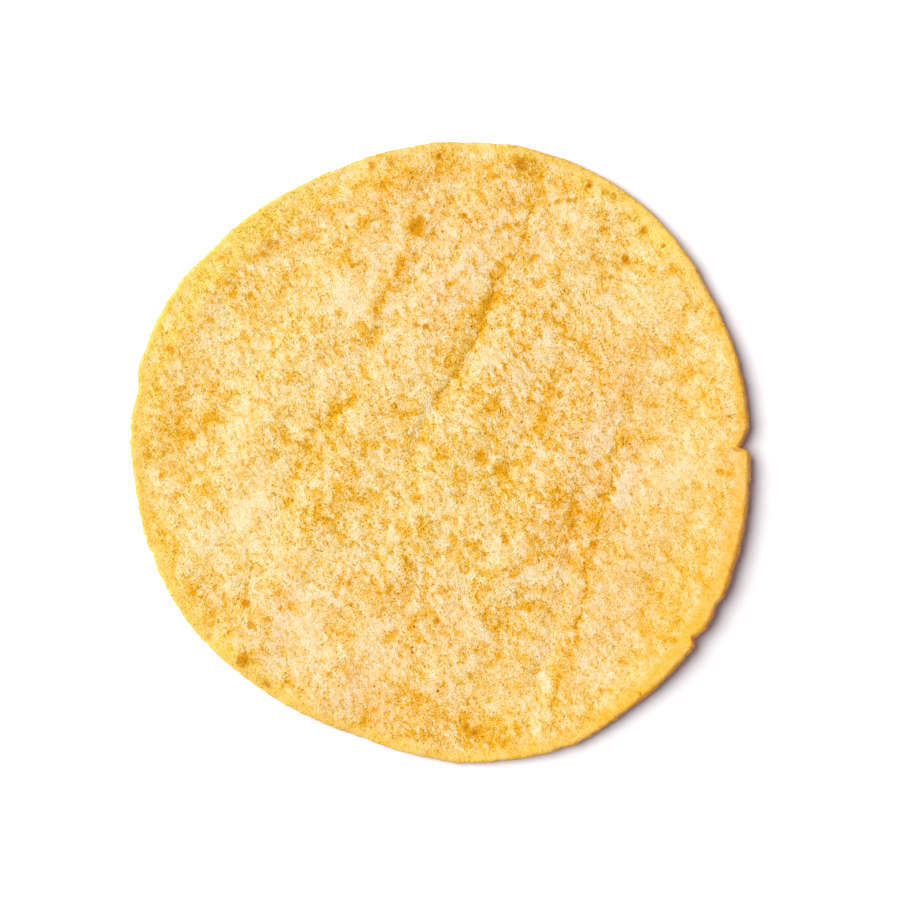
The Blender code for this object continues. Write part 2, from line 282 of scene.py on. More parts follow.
# Cracks that opened as it dried: lines of points
CRACKS = (
    (
        (20.0, 49.5), (18.7, 48.5), (17.0, 45.0), (15.2, 43.8), (14.3, 42.0), (12.5, 40.0), (12.5, 37.5),
        (11.8, 35.0), (10.5, 33.5), (9.8, 32.0), (10.2, 30.0), (9.5, 28.5), (8.8, 27.0), (6.5, 24.0),
        (4.8, 20.0), (4.2, 18.7), (3.0, 17.8), (2.0, 16.8), (1.0, 15.5), (0.3, 14.5), (-1.0, 13.0),
        (-2.5, 12.0),
    ),
    ((10.5, 47.5), (12.0, 44.5), (13.0, 42.5), (12.5, 40.0)),
    ((3.3, 27.0), (3.5, 25.5), (4.2, 23.0)),
    ((-4.5, 60.0), (-3.8, 58.5), (-4.2, 57.5), (-5.0, 55.5), (-5.3, 53.5)),
    ((20.8, 33.5), (20.5, 31.8), (20.8, 30.0)),
    ((19.2, 49.5), (20.6, 53.0), (21.3, 56.0), (22.6, 59.0), (23.5, 62.0)),
    ((48.0, 58.5), (47.0, 56.0), (46.0, 54.5)),
    ((61.0, 33.0), (62.5, 35.2), (64.3, 36.5)),
    ((68.5, 7.5), (70.0, 8.5), (72.0, 9.5)),
    ((-56.8, 23.7), (-55.0, 21.5), (-55.0, 20.3)),
    ((-43.9, 20.5), (-44.3, 18.5), (-43.7, 16.0), (-43.6, 14.0), (-43.9, 12.0)),
    ((-40.2, 31.4), (-38.5, 31.6), (-37.3, 30.6)),
    ((-51.5, 45.5), (-48.3, 48.0)),
    ((-41.5, 55.0), (-39.5, 55.5)),
    ((-31.5, 61.0), (-29.0, 62.0)),
    ((-48.5, 28.2), (-46.5, 28.0), (-45.3, 27.0)),
    ((-49.8, 16.0), (-51.0, 13.0), (-53.0, 11.0), (-54.5, 9.8)),
    ((-3.0, 49.5), (-1.5, 47.5), (0.5, 46.8), (2.5, 47.3), (4.8, 46.0)),
    ((26.0, 22.5), (27.0, 20.8)),
    ((32.3, 14.5), (34.5, 12.0)),
    ((46.2, 24.0), (47.0, 20.0)),
    ((46.3, 13.0), (47.3, 12.3)),
    ((11.5, 25.7), (14.0, 24.8)),
    ((-5.5, -16.5), (-3.0, -15.2), (-0.8, -14.5)),
    ((-55.0, -22.8), (-50.0, -22.7), (-48.3, -25.0)),
    ((-47.3, -30.0), (-48.5, -32.5), (-49.5, -34.0)),
    ((-45.5, -27.0), (-46.0, -30.0), (-46.7, -32.5), (-47.5, -33.5)),
    ((-48.3, -34.5), (-48.8, -36.0), (-49.8, -37.5), (-50.2, -39.0), (-50.6, -39.9)),
    ((-43.3, -38.0), (-43.5, -39.8)),
    ((-32.7, -50.5), (-33.5, -53.0)),
    ((-12.5, -55.0), (-11.5, -56.5)),
    ((-3.0, -67.0), (-1.2, -68.8), (0.2, -70.0), (1.5, -71.0)),
    ((1.7, -61.5), (2.6, -63.5)),
    ((0.2, -52.0), (1.5, -54.5)),
    ((9.8, -46.0), (8.5, -49.0)),
    ((35.5, -26.0), (35.3, -30.0), (35.2, -35.0), (33.8, -38.5), (33.2, -41.0), (32.3, -44.0)),
    ((29.0, -54.0), (27.0, -61.5), (28.5, -66.0)),
    ((25.5, -40.0), (28.0, -37.5)),
    ((-56.7, -42.0), (-55.0, -42.0), (-52.5, -40.3)),
    ((48.8, 43.0), (49.3, 40.5)),
    ((42.0, -5.0), (41.0, -8.5), (40.6, -9.9), (38.5, -10.7)),
    ((37.5, 4.5), (39.0, 1.5), (39.8, -1.0)),
    ((43.0, 7.0), (42.5, 4.0), (42.3, 0.0), (42.7, -2.5)),
    ((30.0, 25.0), (28.5, 21.5), (27.8, 18.7)),
    ((-12.0, 40.7), (-14.0, 37.0), (-16.0, 33.0)),
    ((-20.5, 14.0), (-23.0, 11.0), (-26.5, 8.5)),
)

# Folds that the dough was pressed into: (line of points, height, half-width)
FOLDS = (
    (((38.3, 6.5), (39.2, 3.5), (40.3, 1.0), (41.3, -0.8)), 0.30, 0.8),
    (((43.8, 5.5), (43.3, 3.0), (43.7, 0.5)), 0.25, 0.7),
    (((28.0, 9.0), (30.0, 6.0), (32.0, 3.5)), 0.18, 0.9),
    (((44.0, -6.5), (43.0, -10.0), (42.7, -13.5)), 0.25, 1.4),
    (((13.0, 37.0), (11.5, 29.5), (8.5, 23.0)), 0.20, 1.4),
    (((-41.5, 20.0), (-42.0, 16.0), (-42.3, 12.5)), 0.15, 1.0),
    (((36.5, -29.0), (36.8, -34.0), (35.6, -38.5)), 0.15, 1.0),
    (((-26.0, 41.0), (-21.0, 39.5), (-17.0, 39.0)), 0.15, 1.8),
    (((-50.0, -12.0), (-46.0, -13.5), (-43.0, -15.0)), 0.15, 2.4),
    (((25.8, 29.0), (26.2, 25.0), (24.0, 21.0)), 0.18, 1.3),
)

# Where it is more toasted in a band just inside the rim: (direction, half-width in degrees, strength)
TOASTED_RIM = (
    (98.0, 24.0, 0.55), (70.0, 14.0, 0.25), (207.0, 18.0, 0.45), (160.0, 24.0, 0.25), (272.0, 22.0, 0.35),
    (325.0, 40.0, 0.30), (0.0, 20.0, 0.20),
)
TOASTED_SHARE = 0.925
TOASTED_WIDTH = 0.045

# Where the press thinned the rim most it stayed lemon: (direction and half-width in degrees, share of the
# radius, strength)
LEMON_RIM = (
    (140.0, 34.0, 0.085, 1.0), (50.0, 18.0, 0.055, 0.8), (178.0, 20.0, 0.030, 0.7),
    (218.0, 26.0, 0.045, 0.9), (262.0, 18.0, 0.035, 0.6), (85.0, 20.0, 0.025, 0.6),
)

# The flakes of the dried skin: the direction they are long in, and how many times longer than wide
FLAKE_DIRECTION = 118.0
FLAKE_STRETCH = 1.7

# How finely the dough is modelled: triangles from the middle to the rim, and bands round the rim
SIDES = 6
BACK_RINGS = 56
SHOWN_RINGS = 3 * BACK_RINGS
RIM_BANDS = 5


def turn_from(angle, other):
    """The turn from other to angle in degrees, between -180 and 180."""
    return (angle - other + 180.0) % 360.0 - 180.0


def hump(distance, half_width):
    """1 at no distance, falling smoothly and nearly gone at twice the half-width."""
    return np.exp(-((distance / half_width) ** 2))


def ease(share):
    """0 to 1 with a smooth start and end."""
    share = np.clip(share, 0.0, 1.0)
    return share * share * (3.0 - 2.0 * share)


def pressed_slab():
    """A six-sided slab from level -1 to 1, cut into even triangles that are finer on the shown face."""
    slab = bmesh.new()
    quarter_turn = Matrix.Rotation(math.radians(90.0), 4, "Z")
    bmesh.ops.create_cone(
        slab, cap_ends=True, cap_tris=True, segments=SIDES, radius1=1.0, radius2=1.0, depth=2.0,
        matrix=quarter_turn,
    )
    upright = [edge for edge in slab.edges if edge.verts[0].co.z * edge.verts[1].co.z < 0.0]
    bmesh.ops.subdivide_edges(slab, edges=upright, cuts=RIM_BANDS - 1, use_grid_fill=True)
    level = [edge for edge in slab.edges if abs(edge.verts[0].co.z - edge.verts[1].co.z) < 0.1]
    bmesh.ops.subdivide_edges(slab, edges=level, cuts=BACK_RINGS - 1, use_grid_fill=True)
    shown = [
        edge
        for edge in slab.edges
        if min(edge.verts[0].co.z, edge.verts[1].co.z) > -0.9
        and abs(edge.verts[0].co.z - edge.verts[1].co.z) < 0.1
    ]
    bmesh.ops.subdivide_edges(slab, edges=shown, cuts=SHOWN_RINGS // BACK_RINGS - 1, use_grid_fill=True)
    bmesh.ops.triangulate(slab, faces=slab.faces)
    bmesh.ops.recalc_face_normals(slab, faces=slab.faces)
    mesh = bpy.data.meshes.new("tortilla_dough")
    slab.to_mesh(mesh)
    slab.free()
    return mesh


def outline(angle):
    """Radius of the untorn rim in a direction, about the round's own middle."""
    radius = MEAN_RADIUS + np.zeros_like(angle)
    for count, height, peak in LOBES:
        radius += height * np.cos(np.radians(count * (angle - peak)))
    for at, width, height in RIM_MARKS:
        radius += height * hump(turn_from(angle, at), width)
    return radius


def true_direction(even):
    """Directions of the rim's points, drawn together so that one lies on each corner of each tear."""
    step = 360.0 / (SIDES * SHOWN_RINGS)
    posts = []
    for lower_lip, point, upper_lip, _depth, points in TEARS:
        nearest = round(point / step)
        posts.append(((nearest - points) * step, lower_lip))
        posts.append((nearest * step, point))
        posts.append(((nearest + points) * step, upper_lip))
    before = posts[0][0] - CALM_POINTS * step
    after = posts[-1][0] + CALM_POINTS * step
    posts = [(-180.0, -180.0), (before, before)] + posts + [(after, after), (180.0, 180.0)]
    return np.interp(turn_from(even, 0.0), [post[0] for post in posts], [post[1] for post in posts])


def tear_depth(angle):
    """How far the tears reach in from the rim in a direction."""
    deepest = np.zeros_like(angle)
    for lower_lip, point, upper_lip, depth, _points in TEARS:
        turn = turn_from(angle, point)
        lip = np.where(turn > 0.0, upper_lip - point, lower_lip - point)
        within = np.maximum(0.0, 1.0 - turn / lip)
        deepest = np.maximum(deepest, depth * 1.15 * within**2 / (within + 0.15))
    return deepest


GRAIN_TURN = (0.9, 0.5, 1.2)  # noise runs in rows along its axes, so it is turned well off the table's


def lumps(x, y, z, size, seed):
    """Smooth noise between -1 and 1 whose lumps are about the given size."""
    turned = np.column_stack((x, y, z)) @ np.array(Euler(GRAIN_TURN).to_matrix()) / size + seed
    return np.array([noise.noise(place) for place in turned.tolist()])


def across_and_along(x, y):
    """Places as their distance to the right of the middle slat and their distance up along it."""
    direction = math.radians(SLAT_DIRECTION)
    across = x * math.sin(direction) - y * math.cos(direction)
    along = x * math.cos(direction) + y * math.sin(direction)
    return across, along


def arch(across):
    """Height of the sheet's bends: nought at each crease, full half way to the next."""
    phase = np.interp(across, CREASES, np.arange(len(CREASES)))
    return ARCH_HEIGHT * np.sin(np.pi * phase) ** 2


def furrow(across, along):
    """Depth of the furrows in the shown face."""
    depth = np.zeros_like(across)
    for offset, start, end, lean, deepest, half_width in FURROWS:
        drift = ((start + end) / 2.0 - along) * math.tan(math.radians(lean))
        fade = ease((along - start) / 8.0) * ease((end - along) / 8.0)
        depth = np.maximum(depth, deepest * fade * hump(across - offset - drift, half_width))
    return depth


def beside(x, y, line):
    """Signed distance from a line of points, and the share of its length at the nearest place on it."""
    nearest = np.full_like(x, 1000.0)
    reached = np.zeros_like(x)
    walked = 0.0
    for (x0, y0), (x1, y1) in zip(line, line[1:]):
        length = math.hypot(x1 - x0, y1 - y0)
        run_x, run_y = (x1 - x0) / length, (y1 - y0) / length
        step = np.clip((x - x0) * run_x + (y - y0) * run_y, 0.0, length)
        off_x, off_y = x - x0 - step * run_x, y - y0 - step * run_y
        distance = np.hypot(off_x, off_y)
        closer = distance < np.abs(nearest)
        nearest = np.where(closer, np.copysign(distance, run_x * off_y - run_y * off_x), nearest)
        reached = np.where(closer, walked + step, reached)
        walked += length
    return nearest, reached / walked


OUT_OF_REACH = 3.0  # a crack or a fleck this far off leaves no mark


def nearest_of(x, y, lines):
    """Signed distance from the nearest of many lines, and how far it has opened there, from 0 to 1."""
    offset = np.full_like(x, OUT_OF_REACH)
    opened = np.zeros_like(x)
    for line in lines:
        distance, reached = beside(x, y, line)
        closer = np.abs(distance) < np.abs(offset)
        length = sum(math.dist(*ends) for ends in zip(line, line[1:]))
        tapered = ease(np.minimum(reached, 1.0 - reached) * length / 1.5)
        opened = np.where(closer, tapered, opened)
        offset = np.where(closer, distance, offset)
    return offset, opened * ease(2.0 - np.abs(offset))


def spots(x, y, places):
    """Small soft-edged spots, as a strength from 0 to 1."""
    strength = np.zeros_like(x)
    for at_x, at_y, half_width in places:
        strength = np.maximum(strength, hump(np.hypot(x - at_x, y - at_y), half_width))
    return strength


def curl(share, angle):
    """Height that the sheet lifts off the table towards its rim, and how steeply it rises there."""
    lift = LEAST_LIFT + sum(
        height * hump(turn_from(angle, at), width) for at, width, height in RIM_LIFTS
    )
    reached = np.clip((share - CURL_START) / (1.0 - CURL_START), 0.0, 1.0)
    steepness = lift * CURL_POWER / ((1.0 - CURL_START) * MEAN_RADIUS)
    return lift * reached**CURL_POWER, steepness


dough = pressed_slab()
places = np.empty(len(dough.vertices) * 3)
dough.vertices.foreach_get("co", places)
slab_x, slab_y, slab_z = places.reshape(-1, 3).T

# From the six-sided slab to shares of the way out and directions on a round one
corner_turn = 360.0 / SIDES
sector, turn = np.divmod(np.degrees(np.arctan2(slab_y, slab_x)), corner_turn)
from_side = np.radians(turn - corner_turn / 2.0)
half_side = math.radians(corner_turn / 2.0)
share = np.hypot(slab_x, slab_y) * np.cos(from_side) / math.cos(half_side)
angle = true_direction(corner_turn * (sector + 0.5 + 0.5 * np.tan(from_side) / math.tan(half_side)))
slope = 0.5 * np.pi * slab_z  # of the rounded rim: from straight down at the back to straight up

# The outline's own middle is not the middle of its box, where the origin lies
whole_turn = np.arange(0.0, 360.0, 0.5)
rim_x = outline(whole_turn) * np.cos(np.radians(whole_turn))
rim_y = outline(whole_turn) * np.sin(np.radians(whole_turn))
middle_x = (rim_x.max() + rim_x.min()) / 2.0
middle_y = (rim_y.max() + rim_y.min()) / 2.0

round_in = 0.5 * RIM_THICKNESS * (1.0 - np.cos(slope))
tear = tear_depth(angle) * ease((share - 1.0 + TEAR_REACH) / TEAR_REACH)
lifted, steepness = curl(share, angle)
lean_in = RIM_THICKNESS * steepness * (1.0 + np.sin(slope)) / 2.0 * ease((share - 0.9) / 0.1)
radius = share * (outline(angle) - round_in) - tear - lean_in
x = radius * np.cos(np.radians(angle)) - middle_x
y = radius * np.sin(np.radians(angle)) - middle_y

# The ragged steps and bites of the rim, and the frayed lips of the tears
ragged = sum(step * lumps(x, y, slab_z, size, seed) for step, size, seed in RIM_STEPS)
depth, size, seed = RIM_BITES
ragged -= depth * np.maximum(0.0, lumps(x, y, 0.5 * slab_z, size, seed) - BITE_LEVEL)
fray, size, seed = TEAR_FRAY
ragged += fray * np.minimum(tear, 1.0) * lumps(x, y, 0.3 * slab_z, size, seed)
ragged *= ease((share - 0.95) / 0.05)
x += ragged * np.cos(np.radians(angle))
y += ragged * np.sin(np.radians(angle))

across, along = across_and_along(x, y)
settled = np.maximum(0.0, arch(across) + lifted - SETTLED)
taper = ease((share - 1.0 + RIM_TAPER) / RIM_TAPER)
thickness = THICKNESS + (RIM_THICKNESS - THICKNESS) * taper

# The shown face: lumps of coarse meal, flakes that lifted as the skin dried, folds and fine cracks. The
# places are warped a little first, so that nothing runs straight.
nought = np.zeros_like(x)
warped_x = x + 0.7 * lumps(x, y, nought, 4.0, 71.0) + 0.3 * lumps(x, y, nought, 1.6, 75.0)
warped_y = y + 0.7 * lumps(x, y, nought, 4.0, 83.0) + 0.3 * lumps(x, y, nought, 1.6, 87.0)
crack_offset, crack_opened = nearest_of(warped_x, warped_y, CRACKS)
folded = nought
for line, height, half_width in FOLDS:
    distance, reached = beside(warped_x, warped_y, line)
    fade = ease(reached * 5.0) * ease((1.0 - reached) * 5.0)
    folded = np.maximum(folded, height * fade * hump(distance, half_width))

# The flakes are long across the slats, and the sheet is smoother on the right
flake_turn = math.radians(FLAKE_DIRECTION)
flake_x = (x * math.cos(flake_turn) + y * math.sin(flake_turn)) / FLAKE_STRETCH
flake_y = y * math.cos(flake_turn) - x * math.sin(flake_turn)
flakes = lumps(flake_x, flake_y, nought, 2.2, 131.0) + 0.6 * lumps(flake_x, flake_y, nought, 1.2, 137.0)
grains = lumps(x, y, nought, 3.0, 7.0) + 0.7 * lumps(x, y, nought, 1.4, 13.0)
smoother = 1.0 - 0.5 * ease((x - 20.0) / 30.0)
raised = (flakes + 0.5 * grains) * smoother + 4.0 * folded

wander = 1.5 * lumps(x, y, nought, 9.0, 41.0)
relief = SWELL_HEIGHT * lumps(x, y, nought, 8.0, 3.0) + FLAKE_HEIGHT * raised + FOLD_HEIGHT * folded
relief -= CRACK_DEPTH * crack_opened * hump(crack_offset, CRACK_DIP)
calm = 1.0 - 0.7 * ease((share - 0.95) / 0.04)
top = settled + thickness - furrow(across + wander, along) + relief * calm
back = settled + BACK_HEIGHT * np.maximum(0.0, lumps(x, y, nought, 4.0, 57.0)) * ease(settled / 0.2)
z = back + (top - back) * (np.sin(slope) + 1.0) / 2.0

dough.vertices.foreach_set("co", (np.column_stack((x, y, z)) * MM).ravel())
dough.update()
dough.shade_smooth()


def patches(x, y, places):
    """Soft oval patches, long along the slats, as a strength from 0 to 1."""
    bare = np.ones_like(x)
    across, along = across_and_along(x, y)
    for at_x, at_y, length, width, strength in places:
        at_across, at_along = across_and_along(at_x, at_y)
        distance = np.hypot((across - at_across) / width, (along - at_along) / length)
        bare *= 1.0 - strength * hump(distance, 1.0)
    return 1.0 - bare


# What each place of the skin went through, from 0 to 1, for the crumb to be coloured by
unbrowned = 1.0 - patches(warped_x, warped_y, BROWNED)
unbrowned *= 1.0 - GOLDEN_STRENGTH * spots(warped_x, warped_y, GOLDEN)
halos = [(*at, HALO_WIDTH * half_width) for *at, half_width in SINGED + SCORCHED]
unbrowned *= 1.0 - HALO_STRENGTH * spots(warped_x, warped_y, halos)
singed = SINGED_STRENGTH * spots(warped_x, warped_y, SINGED)
scorched = np.maximum(singed, spots(warped_x, warped_y, SCORCHED))
for at, half_width, strength in TOASTED_RIM:
    band = hump(share - TOASTED_SHARE, TOASTED_WIDTH)
    unbrowned *= 1.0 - strength * hump(turn_from(angle, at), half_width) * band
for line, strength, half_width in SLAT_LINES:
    distance, reached = beside(warped_x, warped_y, line)
    fade = ease(reached * 6.0) * ease((1.0 - reached) * 6.0)
    unbrowned *= 1.0 - strength * fade * hump(distance, half_width)
fleck_distance = np.full_like(x, OUT_OF_REACH)
for fleck_x, fleck_y in FLECKS:
    fleck_distance = np.minimum(fleck_distance, np.hypot(x - fleck_x, y - fleck_y))

# The raw edge that the plate never reached: wide at the lower right, narrow at the upper left
raw_edge = 0.018 + 0.03 * hump(turn_from(angle, -40.0), 35.0) + 0.01 * hump(turn_from(angle, 205.0), 50.0)
raw_edge -= 0.010 * hump(turn_from(angle, 140.0), 35.0)
raw = ease((share - 1.0 + 1.5 * raw_edge) / raw_edge) * (1.0 - 0.6 * hump(turn_from(angle, 98.0), 26.0))
lemon = nought
for at, half_width, reach, strength in LEMON_RIM:
    reach = reach * (1.0 + 0.25 * lumps(x, y, nought, 7.0, 61.0))
    band = ease((share - 1.0 + 1.3 * reach) / (0.6 * reach)) * hump(turn_from(angle, at), half_width)
    lemon = np.maximum(lemon, strength * band)

# On the right the rim has painted shade where it curls from the light. Light glows through its lifted lower
# side, and that side is also painted orange as a painted glow
# Painted glow: the lower side and wall of the lifted right rim are painted orange
painted_glow_top = 0.74 * hump(turn_from(angle, -12.0), 85.0) - 0.05
painted_glow = ease((painted_glow_top - slab_z) / 0.4) * ease((share - 0.86) / 0.08)
# Painted shade: the top of the right rim is darkened where it curls away from the light
painted_rim_shade = hump(turn_from(angle, -12.0), 36.0) * ease((share - 0.80) / 0.2)

# How crisp the flecks are: most in the middle, least towards the rim and on the right
crisp = 1.18 - 0.18 * ease((share - 0.45) / 0.35) - 0.12 * ease((x - 35.0) / 20.0)
crisp -= 0.18 * hump(turn_from(angle, -40.0), 50.0) * ease((share - 0.4) / 0.3)

shown_side = slab_z > -0.9
for name, values in (
    ("browned", np.where(shown_side, 1.0 - unbrowned, 0.35 - 0.35 * unbrowned)),
    ("pale_and_highlight", patches(warped_x, warped_y, PALE_AND_HIGHLIGHTS)),
    ("raised", np.where(shown_side, raised, 0.5 * raised)),
    ("crack_offset", crack_offset),
    ("crack_opened", np.where(shown_side, crack_opened, 0.0)),
    ("scorched", np.where(shown_side, scorched, 0.0)),
    ("fleck_distance", np.where(shown_side, fleck_distance, OUT_OF_REACH)),
    ("rim", raw),
    ("lemon", lemon),
    ("painted_glow", painted_glow),
    ("crisp", crisp),
    ("blush", patches(x, y, BLUSH)),
    ("ladder", patches(warped_x, warped_y, LADDER)),
    ("painted_rim_shade", painted_rim_shade),
):
    field = dough.attributes.new(name, "FLOAT", "POINT")
    field.data.foreach_set("value", values)

tortilla = bpy.data.objects.new("tortilla_round", dough)
bpy.context.scene.collection.objects.link(tortilla)


class Recipe:
    """A material's nodes, added one at a time. Noise sizes are in millimetres on the piece itself."""

    def __init__(self, name):
        self.material = bpy.data.materials.new(name)
        self.material.use_nodes = True
        self.tree = self.material.node_tree
        self.shader = self.tree.nodes["Principled BSDF"]
        coordinates = self.add("ShaderNodeTexCoord")
        self.flat_place = self.add(
            "ShaderNodeVectorMath", {0: coordinates.outputs["Object"], "Scale": 1.0 / MM}, operation="SCALE"
        ).outputs[0]
        self.place = self.add(
            "ShaderNodeVectorRotate", {"Vector": self.flat_place, "Rotation": GRAIN_TURN},
            rotation_type="EULER_XYZ",
        ).outputs[0]

    def add(self, kind, inputs=None, **settings):
        node = self.tree.nodes.new(kind)
        for setting, value in settings.items():
            setattr(node, setting, value)
        for socket, value in (inputs or {}).items():
            if isinstance(value, bpy.types.NodeSocket):
                self.tree.links.new(value, node.inputs[socket])
            else:
                node.inputs[socket].default_value = value
        return node

    def grain(self, size, detail=3.0, roughness=0.55, place=None, seed=0.0):
        """Noise whose lumps are about the given size, between 0 and 1 with a mean of a half."""
        moved = self.add(
            "ShaderNodeVectorMath",
            {0: place or self.place, 1: (seed, seed * 0.7, seed * 0.3)},
            operation="ADD",
        )
        texture = self.add(
            "ShaderNodeTexNoise",
            {"Vector": moved.outputs[0], "Scale": 1.0 / size, "Detail": detail, "Roughness": roughness},
        )
        return texture.outputs["Fac"]

    def span(self, value, low, high, to_low=0.0, to_high=1.0):
        """A value spread smoothly from one range to another."""
        return self.add(
            "ShaderNodeMapRange",
            {"Value": value, "From Min": low, "From Max": high, "To Min": to_low, "To Max": to_high},
            interpolation_type="SMOOTHSTEP",
        ).outputs["Result"]

    def swing(self, noise, contrast):
        """Noise swung about nought."""
        return self.add(
            "ShaderNodeMath", {0: noise, 1: contrast, 2: -0.5 * contrast}, operation="MULTIPLY_ADD"
        ).outputs[0]

    def sum(self, first, second, operation="ADD"):
        return self.add("ShaderNodeMath", {0: first, 1: second}, operation=operation).outputs[0]

    def times(self, first, second):
        return self.sum(first, second, "MULTIPLY")

    def blend(self, share, colour, other):
        """One colour over another by a share from 0 to 1."""
        mix = self.add("ShaderNodeMix", data_type="RGBA", clamp_factor=True)
        for socket, value in ((mix.inputs[0], share), (mix.inputs[6], colour), (mix.inputs[7], other)):
            if isinstance(value, bpy.types.NodeSocket):
                self.tree.links.new(value, socket)
            elif socket is mix.inputs[0]:
                socket.default_value = value
            else:
                socket.default_value = (*value, 1.0)
        return mix.outputs[2]

    def field(self, name):
        return self.add("ShaderNodeAttribute", attribute_name=name).outputs["Fac"]


# Griddled maize crumb. One tone runs from toasted gold to bleached cream, as the dough was pressed on
# the hot plate or lifted off it, in flecks of every size from the finger's width down to a grain of meal.
MIDDLE_TONE = 0.635
FLECK_CONTRAST = 2.35
BLOTCH_CONTRAST = 0.5
WIDE_PLATE_CONTRAST = 0.20
SMALL_PLATE_CONTRAST = 0.30
RAISED_HIGHLIGHT_TONE = 0.08
PALE_AND_HIGHLIGHT_TONE = 0.27
BROWNED_TONE = -0.42
LADDER_TONE_AND_SHADING = 2.0
HALO_TONE = 0.16
CRACK_BAND_TONE = 0.16
RIM_FLECK_TONE = 0.40
RIM_CRISP_TONE = 0.5
RIM_TONE = -0.07

# Sizes of what the crumb is made of, in millimetres
BLOTCH_SIZE = 12.0
FLECK_SIZE = 3.4
RUNG_SIZE = 1.3
RUNG_STRETCH = 3.2
LUMP_SIZE = 2.6
WIDE_PLATE = 1.9
PORE_SPACING = 1.1
SMALL_PLATE = 0.8
SCORCH_SIZE = 0.8
MEAL_SIZE = 0.75
CREVICE_SIZE = 0.42
GRIT_SIZE = 0.40
SPECK_SIZE = 0.36
PORE_RADIUS = 0.17  # as a share of their spacing

# How deeply each kind of hollow is darkened, by toasting and by painted shade, and how high each lump
# stands
WIDE_SEAM_DEPTH = 0.40
SMALL_SEAM_DEPTH = 0.35
PORE_DEPTH = 1.0
CREVICE_DEPTH = 1.25
LUMP_HEIGHT = 0.05
MEAL_HEIGHT = 0.13
GRIT_HEIGHT = 0.24
PLATE_HEIGHT = 0.07
LADDER_HEIGHT = 0.34
HOLLOW_HEIGHT = -0.05

TONES = (
    (0.00, (0.830, 0.382, 0.003)),
    (0.14, (0.880, 0.445, 0.014)),
    (0.28, (0.920, 0.510, 0.049)),
    (0.50, (0.947, 0.612, 0.172)),
    (0.72, (0.954, 0.684, 0.280)),
    (0.90, (0.958, 0.745, 0.385)),
    (1.00, (0.962, 0.785, 0.470)),
)
PEACH_TINT = (1.01, 0.935, 1.04)
SPECK_TINT = (0.87, 0.81, 0.70)
# Painted shade on the right rim, where it curls away from the light
RIM_SHADE_TINT = (0.90, 0.85, 0.98)
# Toasting and painted shade in the hollows
TOAST_AND_SHADE_TINT = (0.66, 0.52, 0.0)
SINGED_GOLD = (0.700, 0.305, 0.003)
SCORCHED_BROWN = (0.500, 0.165, 0.0)
LEMON = (0.930, 0.690, 0.130)
FLECK_BROWN = (0.200, 0.060, 0.015)
# A painted glow of light through and under the lifted rim
PAINTED_GLOW_ORANGE = (0.800, 0.360, 0.090)

crumb = Recipe("maize_crumb")
browned_field = crumb.field("browned")
pale_and_highlight_field = crumb.field("pale_and_highlight")
raised_field = crumb.field("raised")
rim_field = crumb.field("rim")

# The skin dried in little crisp-edged plates, longer across the slats, each toasted a shade of its own
along_flakes = crumb.add(
    "ShaderNodeVectorRotate", {"Vector": crumb.flat_place, "Angle": -flake_turn}, rotation_type="Z_AXIS"
).outputs[0]
squeezed = crumb.add(
    "ShaderNodeVectorMath", {0: along_flakes, 1: (1.0 / FLAKE_STRETCH, 1.0, 1.0)}, operation="MULTIPLY"
).outputs[0]
warp = crumb.add(
    "ShaderNodeTexNoise", {"Vector": crumb.place, "Scale": 0.6, "Detail": 4.0, "Roughness": 0.8}
)
drifted = crumb.add(
    "ShaderNodeVectorMath", {0: warp.outputs["Color"], 1: (2.4, 2.4, 2.4), 2: squeezed},
    operation="MULTIPLY_ADD",
).outputs[0]


def plates(spacing):
    """A shade for each plate, from 0 to 1, and how far each place is from its plate's edge."""
    cells = crumb.add("ShaderNodeTexVoronoi", {"Vector": drifted, "Scale": 1.0 / spacing})
    shade = crumb.add("ShaderNodeSeparateColor", {"Color": cells.outputs["Color"]}).outputs[0]
    edges = crumb.add(
        "ShaderNodeTexVoronoi", {"Vector": drifted, "Scale": 1.0 / spacing}, feature="DISTANCE_TO_EDGE"
    )
    return shade, edges.outputs["Distance"]


wide_shade, wide_seam = plates(WIDE_PLATE)
small_shade, small_seam = plates(SMALL_PLATE)
bleached = crumb.sum(
    crumb.span(wide_shade, 0.80, 0.86, 0.0, 0.10), crumb.span(small_shade, 0.80, 0.86, 0.0, 0.12)
)
plate_tone = crumb.sum(
    crumb.swing(wide_shade, WIDE_PLATE_CONTRAST), crumb.swing(small_shade, SMALL_PLATE_CONTRAST)
)
plate_tone = crumb.sum(plate_tone, bleached)

crisp_field = crumb.field("crisp")
fleck_noise = crumb.grain(FLECK_SIZE, detail=3.8, roughness=0.92, seed=17.0)
flecks = crumb.times(crumb.swing(fleck_noise, FLECK_CONTRAST), crisp_field)
plate_tone = crumb.times(plate_tone, crisp_field)
blotches = crumb.swing(crumb.grain(BLOTCH_SIZE, detail=1.5, roughness=0.7, seed=29.0), BLOTCH_CONTRAST)
# Raised lumps and folds are painted paler, partly their own colour and partly a painted highlight
speckle = crumb.sum(crumb.sum(flecks, plate_tone), crumb.times(raised_field, RAISED_HIGHLIGHT_TONE))
# Pale places and painted highlights along the folds raise the tone; browned places lower it
favour = crumb.sum(crumb.times(pale_and_highlight_field, PALE_AND_HIGHLIGHT_TONE), crumb.times(browned_field, BROWNED_TONE))
tone = crumb.sum(crumb.sum(speckle, blotches), crumb.sum(favour, MIDDLE_TONE))

